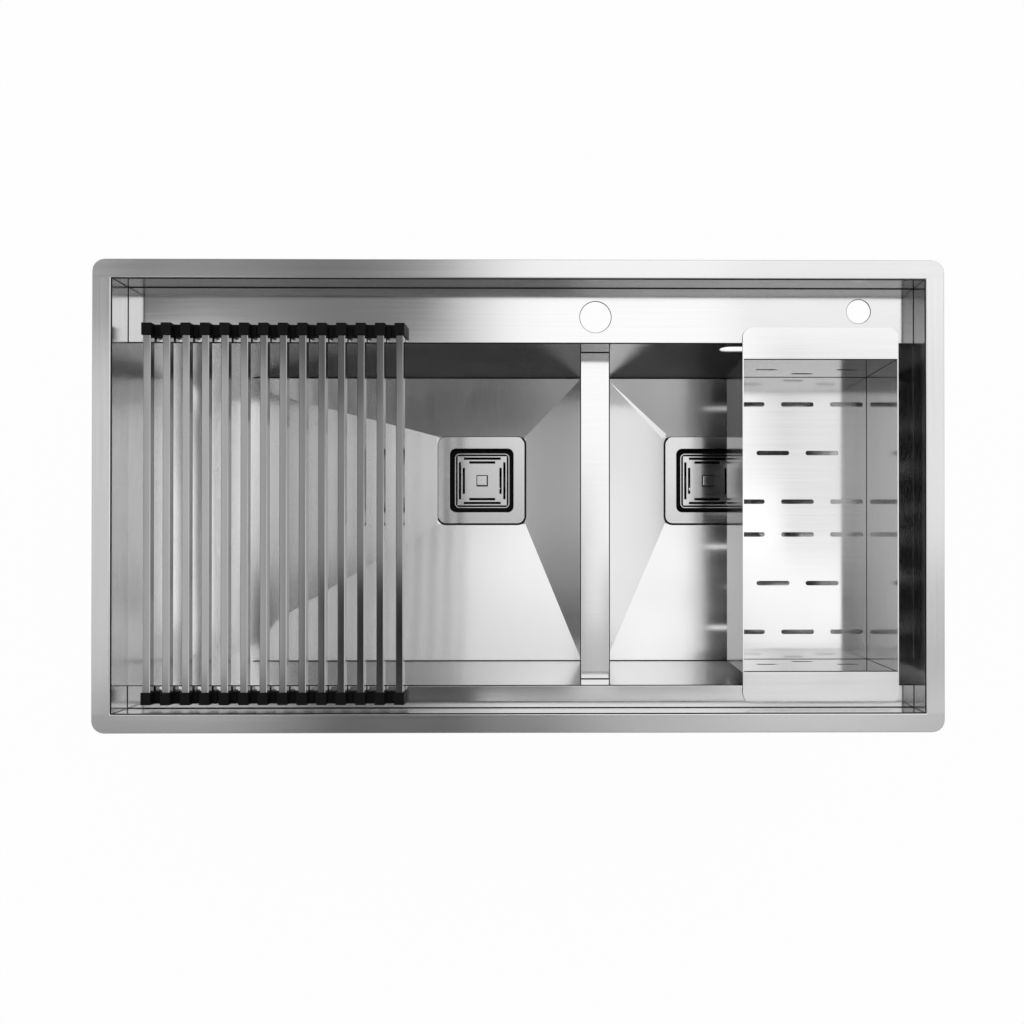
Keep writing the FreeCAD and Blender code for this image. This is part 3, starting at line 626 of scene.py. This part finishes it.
def rod(bm, points, closed, radius, sides=8):
    """Adds a round rod along a run of points in millimetres, mitred at its corners."""
    points = [Vector(p) * MM for p in points]
    count = len(points)
    way = [(points[(i + 1) % count] - points[i]).normalized() for i in range(count)]
    into = way[-1] if closed else way[0]
    side = into.orthogonal().normalized() * radius * MM
    offsets = [Quaternion(into, 2 * math.pi * k / sides) @ side for k in range(sides)]
    rings = []
    for i, point in enumerate(points):
        out = way[i] if closed or i < count - 1 else into
        middle = (into + out).normalized()
        rings.append([bm.verts.new(point + o - into * (o.dot(middle) / into.dot(middle))) for o in offsets])
        turn = into.rotation_difference(out)
        offsets = [turn @ o for o in offsets]
        into = out
    if closed:
        join_rings(bm, rings + rings[:1])
    else:
        close_tube(bm, rings)


def rods(name, runs, material, body):
    """One piece of several rods: each run is points, whether it is closed, and a radius."""
    bm = bmesh.new()
    for run in runs:
        rod(bm, *run)
    add_trim(name, bm, material, body)


def rectangle(x0, x1, y0, y1, z):
    return [(x0, y0, z), (x1, y0, z), (x1, y1, z), (x0, y1, z)]


def round_square(x, y, side_x, side_y, radius, z, steps=5):
    """Points round a rectangle with rounded corners."""
    points = []
    for corner, (sx, sy) in enumerate(((1, 1), (-1, 1), (-1, -1), (1, -1))):
        for step in range(steps + 1):
            turn = math.pi / 2 * (corner + step / steps)
            points.append((x + sx * (side_x / 2 - radius) + radius * math.cos(turn),
                           y + sy * (side_y / 2 - radius) + radius * math.sin(turn), z))
    return points


def circle(x, y, radius, z, steps=48):
    turns = [2 * math.pi * step / steps for step in range(steps)]
    return [(x + radius * math.cos(t), y + radius * math.sin(t), z) for t in turns]


def square_ring(name, x, y, section, material, body):
    """A ring round a square: its section is a closed run of side, corner radius and height."""
    bm = bmesh.new()
    rings = [[bm.verts.new(Vector(p) * MM) for p in round_square(x, y, side, side, radius, z)]
             for side, radius, z in section]
    join_rings(bm, rings + rings[:1])
    add_trim(name, bm, material, body)


def thread(bm, x, y, size):
    """Cuts the shank back to its root and winds a ridge up to the crest round it."""
    crest, root, pitch, low, high, steps = size
    for vert in bm.verts:
        away = Vector((vert.co.x - x * MM, vert.co.y - y * MM))
        if abs(away.length - crest * MM) < SHANK_PLAY * MM and vert.co.z < (high + SHANK_RISE) * MM:
            away *= root / crest
            vert.co.x, vert.co.y = x * MM + away.x, y * MM + away.y
    foot, top, deep = THREAD_FOOT * pitch, THREAD_CREST * pitch, root - THREAD_SET
    count = int((high - low) / pitch * steps)
    rings = []
    for i in range(count + 1):
        turn, z = 2 * math.pi * i / steps, low + pitch * i / steps
        grown = root + (crest - root) * min(1.0, i / steps, (count - i) / steps)
        section = ((deep, -foot), (grown, -top), (grown, top), (deep, foot))
        rings.append([bm.verts.new(((x + r * math.cos(turn)) * MM, (y + r * math.sin(turn)) * MM,
                                    (z + rise) * MM)) for r, rise in section])
    close_tube(bm, rings)
    bmesh.ops.recalc_face_normals(bm, faces=bm.faces)


def screw_places(bm):
    """The middle of each loose screw in the mesh."""
    seen, places = set(), []
    for start in bm.verts:
        if start in seen:
            continue
        island, front = [], [start]
        seen.add(start)
        while front:
            vert = front.pop()
            island.append(vert.co)
            for edge in vert.link_edges:
                other = edge.other_vert(vert)
                if other not in seen:
                    seen.add(other)
                    front.append(other)
        low = [min(co[axis] for co in island) for axis in (0, 1)]
        high = [max(co[axis] for co in island) for axis in (0, 1)]
        places.append([(a + b) / 2 / MM for a, b in zip(low, high)])
    return places


def thread_clip_screws(bm):
    for x, y in screw_places(bm):
        thread(bm, x, y, CLIP_SCREW)


def driver_slot(bm, x, y, top, half_x, half_y, depth):
    """Sinks a screwdriver slot into the flat top of a screw head."""
    def head():
        return [f for f in bm.faces
                if abs(f.calc_center_median().z - top * MM) < SAME and f.normal.z > LYING]

    def parts_of(faces):
        return faces + list({e for f in faces for e in f.edges}) + list({v for f in faces for v in f.verts})

    for axis, half in ((0, half_x), (1, half_y)):
        across = Vector((0, 0, 0))
        across[axis] = 1.0
        for side in (-1, 1):
            place = Vector((x, y, top)) * MM
            place[axis] += side * half * MM
            bmesh.ops.bisect_plane(bm, geom=parts_of(head()), dist=SAME, plane_co=place, plane_no=across)
    inner = [f for f in head() if abs(f.calc_center_median().x - x * MM) < half_x * MM
             and abs(f.calc_center_median().y - y * MM) < half_y * MM]
    sunk = bmesh.ops.extrude_face_region(bm, geom=inner)["geom"]
    bmesh.ops.delete(bm, geom=inner, context="FACES_ONLY")
    bmesh.ops.translate(bm, vec=(0, 0, -depth * MM), verts=[g for g in sunk if isinstance(g, bmesh.types.BMVert)])


def bolt_detail(x):
    def also(bm):
        driver_slot(bm, x, DRAIN_Y, *DRIVER_SLOT)
        thread(bm, x, DRAIN_Y, BOLT)
    return also


def spigot_thread(x):
    return lambda bm: thread(bm, x, DRAIN_Y, SPIGOT)


def sink_fold_runs():
    """Dark lines of painted shade where the sheets of the sink meet: corners, folds and edges in shade, round the
    tap holes and flanges, and along the rim's outer edge.
    """
    runs = []

    def line(kind, *points):
        runs.append((list(points), False, LINE_RADIUS[kind]))

    def loop(kind, points):
        runs.append((points, True, LINE_RADIUS[kind]))

    out = RIM_LINE_INSET
    loop("rim", rectangle(-OPENING_X + out, OPENING_X - out, -OPENING_Y + out, OPENING_Y - out,
                          RIM_TOP - LINE_DEPTH["rim"]))
    for sx in (-1, 1):
        x = sx * (OPENING_X - LINE_INSET)
        for sy in (-1, 1):
            y = sy * (OPENING_Y - LINE_INSET)
            line("step corner", (x, y, RIM_TOP - LINE_DEPTH["step corner"]), (x, y, LEDGE_TOP))
        line("ledge end", (x, BOWL_REAR, LEDGE_TOP), (x, OPENING_Y, LEDGE_TOP))
        line("ledge end", (x, -OPENING_Y, LEDGE_TOP), (x, BOWL_FRONT, LEDGE_TOP))
    rear, front = BOWL_REAR - LINE_INSET, BOWL_FRONT + LINE_INSET
    bowl_edge = LEDGE_TOP - LINE_DEPTH["bowl edge"]
    for y, z in ((OPENING_Y - LINE_INSET, LEDGE_TOP), (-OPENING_Y + LINE_INSET, LEDGE_TOP),
                 (rear, bowl_edge), (front, bowl_edge)):
        line("ledge", (-OPENING_X, y, z), (OPENING_X, y, z))
    left, right, top = DIVIDER
    for x0, x1 in ((-OPENING_X, left), (right, OPENING_X)):
        for y in (rear, front):
            line("wall foot", (x0, y, WALL_BASE), (x1, y, WALL_BASE))
    for x, way in ((left, -1), (right, 1)):
        side, z = x + way * LINE_INSET, top - LINE_DEPTH["divider side"]
        line("divider side", (side, BOWL_FRONT, z), (side, BOWL_REAR, z))
        for y in (BOWL_REAR, BOWL_FRONT):
            line("divider corner", (x, y, top), (x, y, LEDGE_TOP - LINE_DEPTH["divider corner"]))
    for y in (rear, front):
        line("divider end", (left, y, top), (right, y, top))
    for x, y, radius in TAP_HOLES:
        loop("tap hole", circle(x, y, radius - LINE_INSET, LEDGE_TOP - LINE_DEPTH["tap hole"]))
    for side, x in DRAINS.items():
        width = FLANGE_SIDE + FLANGE_GAP
        outline = round_square(x, DRAIN_Y, width, width, FLANGE_RADIUS, FLANGE_TOP - LINE_DEPTH["flange"])
        loop("flange", outline)
        shaded = [outline[k % len(outline)] for k in range(*FLANGE_SHADE[side])]
        line("flange shade", *[(px, py, FLANGE_TOP - LINE_DEPTH["flange shade"]) for px, py, _ in shaded])
    in_from_edge = LINE_RADIUS["outer edge"]
    loop("outer edge", round_square(0, 0, 2 * RIM_X - 2 * in_from_edge, 2 * RIM_Y - 2 * in_from_edge,
                                    RIM_CORNER - in_from_edge, RIM_TOP - LINE_DEPTH["outer edge"]))
    return runs


def colander_fold_runs():
    """Dark lines of painted shade along the folds of the colander's tray, and the free edges of its flanges."""
    (x0, x1), (y0, y1), out = COLANDER_X, COLANDER_Y, LINE_INSET
    runs = [(rectangle(x0 + out, x1 - out, y0 + out, y1 - out, COLANDER_FLOOR), True, LINE_RADIUS["tray foot"])]
    top = COLANDER_TOP - LINE_DEPTH["tray fold"]
    for y in (y0 + out, y1 - out):
        runs.append(([(x0, y, top), (x1, y, top)], False, LINE_RADIUS["tray fold"]))
        for x in (x0 + COLANDER_CORNER_INSET, x1 - COLANDER_CORNER_INSET):
            runs.append(([(x, y, COLANDER_FLOOR), (x, y, top)], False, LINE_RADIUS["tray corner"]))
    return runs + [(flange_outline(rear), False, LINE_RADIUS["tray flange"]) for rear in (False, True)]


def flange_outline(rear):
    """The free edge of a colander flange, just inside its lower edge."""
    (x0, x1), z = COLANDER_SIDES, COLANDER_TOP - LINE_DEPTH["tray flange"]
    root, tip = (COLANDER_Y[1], COLANDER_FLANGES[1]) if rear else (COLANDER_Y[0], COLANDER_FLANGES[0])
    way = 1 if rear else -1
    corner = []
    for step in range(COLANDER_CORNER_STEPS + 1):
        turn = math.pi / 2 * step / COLANDER_CORNER_STEPS
        corner.append((COLANDER_CORNER * (1 - math.cos(turn)), COLANDER_CORNER * (1 - math.sin(turn))))
    left = [(x0 + dx, tip - way * dy, z) for dx, dy in corner]
    right = [(x1 - dx, tip - way * dy, z) for dx, dy in reversed(corner)]
    return [(x0, root + way, z)] + left + right + [(x1, root + way, z)]


def swept_corner(material):
    """The wide curve from the left wall down into the floor, where the photograph shows no fold.

    Where the front and rear facets lie higher than the curve, it stays inside their sheet.
    """
    wall, (out, up) = -OPENING_X, SWEEP
    front_fall, rear_fall = FACET_FALLS

    def fall(run):
        return run * FLOOR_FALL[0] / FLOOR_FALL[1]

    def floor(run, y):
        facets = min((y - BOWL_FRONT) * front_fall, (BOWL_REAR - y) * rear_fall)
        return WALL_BASE - min(fall(run), max(facets, 0.0))

    def row(y):
        points = []
        for step in range(SWEEP_STEPS + 1):
            t = step / SWEEP_STEPS
            run = out * t * t
            curve = WALL_BASE + up * (1 - t) ** 2 - fall(run)
            points.append((wall + run, y, max(curve, floor(run, y) - SWEEP_HIDDEN)))
        behind = wall - SWEEP_LAP
        return points + [(wall + out, y, floor(out, y) - SWEEP_THICK),
                         (behind, y, WALL_BASE - SWEEP_THICK), (behind, y, WALL_BASE + up)]

    front = [BOWL_FRONT + fall(out) / front_fall * k / SWEEP_FRONT_ROWS for k in range(SWEEP_FRONT_ROWS + 1)]
    rear = [BOWL_REAR - fall(out) / rear_fall * k / SWEEP_REAR_ROWS for k in range(SWEEP_REAR_ROWS, -1, -1)]
    bm = bmesh.new()
    close_tube(bm, [[bm.verts.new(Vector(point) * MM) for point in row(y)]
                    for y in [BOWL_FRONT - SWEEP_LAP] + front + rear + [BOWL_REAR + SWEEP_LAP]])
    add_trim("left_bowl_swept_corner", bm, material, "sink")


def soft_crease(material):
    """The crease from the right bowl's rear left corner to its drain, which opens into a soft fold."""
    corner = Vector((DIVIDER[1], BOWL_REAR, WALL_BASE))
    drain = Vector((DRAINS["right"] - SEAT_HALF, DRAIN_Y + SEAT_HALF, WALL_BASE - FLOOR_FALL[0]))
    run = drain - corner
    across = Vector((-run.y, run.x, 0)).normalized()
    if across.y < 0:
        across.negate()
    rise_left = run.z / run.x * -across.x
    rise_rear = run.z / run.y * across.y
    bm = bmesh.new()
    rings = []
    for share, half in CREASE:
        line = corner + run * share + Vector((0, 0, CREASE_LIFT))
        left = line - across * half + Vector((0, 0, rise_left * half))
        rear = line + across * half + Vector((0, 0, rise_rear * half))
        under = line - Vector((0, 0, 2 * CREASE_LIFT))
        rings.append([bm.verts.new(point * MM) for point in (left, rear, under)])
    close_tube(bm, rings)
    add_trim("right_bowl_soft_crease", bm, material, "sink")


def dress_strainer(side, pressed, seal, shade):
    """The strainer, with the rubber lip that fills the cup round it, a rubber washer under the knob whose dark
    rim stands in for the knob's shade, and a dark rod of painted shade round the plate.
    """
    body, x = side + "_strainer", DRAINS[side]
    dress(body + "_basket", pressed,
          folds=[(slot_end(*STRAINER_SLOTS), STRAINER_SLOT_END)], edge=BASKET_EDGE)
    dress(body + "_seal", seal)
    dress(body + "_knob", pressed, edge=KNOB_EDGE)
    square_ring(body + "_lip", x, DRAIN_Y, LIP_SECTION, seal, body)
    square_ring(body + "_washer", x, DRAIN_Y, WASHER_SECTION, seal, body)
    width, corner, depth, radius = GROOVE
    groove = round_square(x, DRAIN_Y, width, width, corner, PLATE_TOP - depth)
    rods(body + "_groove_shade", [(groove, True, radius)], shade, body)


def dress_all():
    sheet = brushed_steel("brushed_sheet", "X", level=0.76, roughness=0.13)
    bowl = brushed_steel("brushed_bowl", "facets", level=0.8, roughness=0.18, stretch=0.75, bow=0.03,
                         relief=0.006, mill_outside=True)
    rim = brushed_steel("brushed_rim", "rim", level=0.72, roughness=0.2)
    # Painted light: the swept curve is the bowl's own sheet, given a lighter grey than the bowl
    swept = brushed_steel("brushed_sweep", "Y", level=0.93, roughness=0.2, stretch=0.75, relief=0.006)
    # Painted light and shade: the pressed steel is lighter on its tops and darker on walls across its brush
    pressed = brushed_steel("brushed_pressing", "X", level=0.7, roughness=0.13, painted_top_light=0.84, across=0.52)
    # Painted shade: below these heights the flange's cup and the strainer's slots are dark
    flange = brushed_steel("brushed_flange", "X", level=0.62, roughness=0.18, dull_and_shaded_below=-0.2098)
    strainer = brushed_steel("brushed_strainer", "X", level=0.62, roughness=0.18, dull_and_shaded_below=-0.2140)
    # Painted shade: the rack's tubes are the same steel, given a much darker grey
    tube = brushed_steel("brushed_tube", "Y", level=0.35, roughness=0.13, stretch=0.3, relief=0.006)
    silicone = rubber("black_silicone", level=0.004, roughness=0.5, grain_size=0.4 * MM)
    seal = rubber("seal_rubber", level=0.012, roughness=0.6, grain_size=0.5 * MM)
    pad = rubber("damping_rubber", level=0.13, roughness=0.8, grain_size=1.2 * MM, bump=0.5)
    plastic = moulded_plastic("black_plastic", level=0.03)
    plated = zinc("zinc_plate")
    shade = fold_shade("fold_shade")

    dress("rim_frame", rim, folds=[(is_rim_fold, RIM_EASE)])
    for node in ("front_ledge", "rear_ledge", "divider_bridge"):
        dress(node, sheet, edge=LEDGE_EDGE)
    for node in ("left_bowl", "right_bowl"):
        dress(node, bowl, folds=[(is_fold, FOLD_RADIUS)], edge=None)
    swept_corner(swept)
    soft_crease(bowl)
    # Painted shade: dark rods where the sink's sheets meet, round its holes and along its edges
    rods("sink_fold_shade_lines", sink_fold_runs(), shade, "sink")
    dress("clip_rails", plated)
    dress("mounting_clips", plated)
    dress("clip_screws", plated, also=thread_clip_screws)
    dress("colander", pressed, edge=COLANDER_EDGE,
          folds=[(slot_end(*slots), COLANDER_SLOT_END) for slots in (COLANDER_FLOOR_SLOTS, COLANDER_WALL_SLOTS)])
    # Painted shade: dark rods along the colander's folds and flange edges
    rods("colander_fold_shade_lines", colander_fold_runs(), shade, "colander")
    for side, x in DRAINS.items():
        dress(side + "_bowl_pads", pad, edge=PAD_EDGE)
        dress(side + "_drain_flange", flange, edge=FLANGE_EDGE)
        dress(side + "_seat_gasket", seal)
        dress(side + "_under_gasket", seal)
        dress(side + "_drain_body", plastic, edge=MOULDED_EDGE, also=spigot_thread(x))
        dress(side + "_drain_bolt", plated, also=bolt_detail(x))
        dress_strainer(side, strainer, seal, shade)
    for number in range(1, RACK_BARS + 1):
        dress("rack_bar_%02d" % number, tube)
        dress("rack_caps_%02d" % number, silicone, edge=MOULDED_EDGE)


# Scene


def soft_box(n, slope_x, slope_y, x0, x1, y0, y1, soft):
    """1 inside one soft box as seen from below, fading to 0 at its edge."""
    masks = []
    for slope, low, high in ((slope_x, x0, x1), (slope_y, y0, y1)):
        off = n.math("ABSOLUTE", n.math("SUBTRACT", slope, (low + high) / 2))
        half = (high - low) / 2
        masks.append(n.ramp(off, half - soft / 2, half + soft / 2, 1.0, 0.0))
    return n.math("MULTIPLY", *masks)


def make_world():
    """Soft boxes in a dim room that grows lighter towards the horizon. The camera sees white."""
    world = bpy.data.worlds.new("studio")
    bpy.context.scene.world = world
    n = Nodes(world)
    x, y, z = n.separate(n.add("ShaderNodeTexCoord").outputs["Generated"])
    up = n.math("MAXIMUM", z, LEAST_RISE)
    slope_x, slope_y = n.math("DIVIDE", x, up), n.math("DIVIDE", y, up)
    reach = n.math("MAXIMUM", n.math("ABSOLUTE", slope_x), n.math("ABSOLUTE", slope_y))
    light = n.ramp(reach, *ROOM_SLOPES, *ROOM_STRENGTH)
    for *box, strength in SOFT_BOXES:
        lit = n.math("MULTIPLY", soft_box(n, slope_x, slope_y, *box), strength)
        light = n.math("MAXIMUM", light, lit)
    seen = n.add("ShaderNodeLightPath").outputs["Is Camera Ray"]
    n.surface(n.mix(seen, n.background(light), n.background(1.0)), "ShaderNodeOutputWorld")


def make_floor():
    low = CAD_BOX[0][2] - FLOOR_GAP
    bm = bmesh.new()
    bm.faces.new([bm.verts.new(corner) for corner in
                  rectangle(-FLOOR_HALF, FLOOR_HALF, -FLOOR_HALF, FLOOR_HALF, low)])
    mesh = bpy.data.meshes.new("floor")
    bm.to_mesh(mesh)
    bm.free()
    floor = bpy.data.objects.new("floor", mesh)
    bpy.context.scene.collection.objects.link(floor)
    material, n = new_material("pale_floor")
    diffuse = n.add("ShaderNodeBsdfDiffuse")
    dark, light = FLOOR_GREYS
    n.put(diffuse.inputs["Color"], n.tint(n.noise(n.place(), FLOOR_CLOUDS), grey(dark), grey(light)))
    glow = n.add("ShaderNodeEmission")
    glow.inputs["Strength"].default_value = 1.0
    path = n.add("ShaderNodeLightPath")
    seen = n.math("MAXIMUM", path.outputs["Is Camera Ray"], path.outputs["Is Transmission Ray"])
    n.surface(n.mix(n.math("MULTIPLY", seen, FLOOR_GLOW), diffuse.outputs[0], glow.outputs[0]))
    mesh.materials.append(material)


def make_camera():
    data = bpy.data.cameras.new("camera")
    data.lens = CAMERA_LENS
    data.sensor_width = CAMERA_SENSOR
    data.shift_x, data.shift_y = CAMERA_SHIFT
    camera = bpy.data.objects.new("camera", data)
    camera.location = CAMERA_PLACE
    camera.rotation_euler = CAMERA_TURN
    bpy.context.scene.collection.objects.link(camera)
    bpy.context.scene.camera = camera


make_world()
make_floor()
make_camera()
dress_all()
bpy.context.scene.view_settings.view_transform = "Standard"
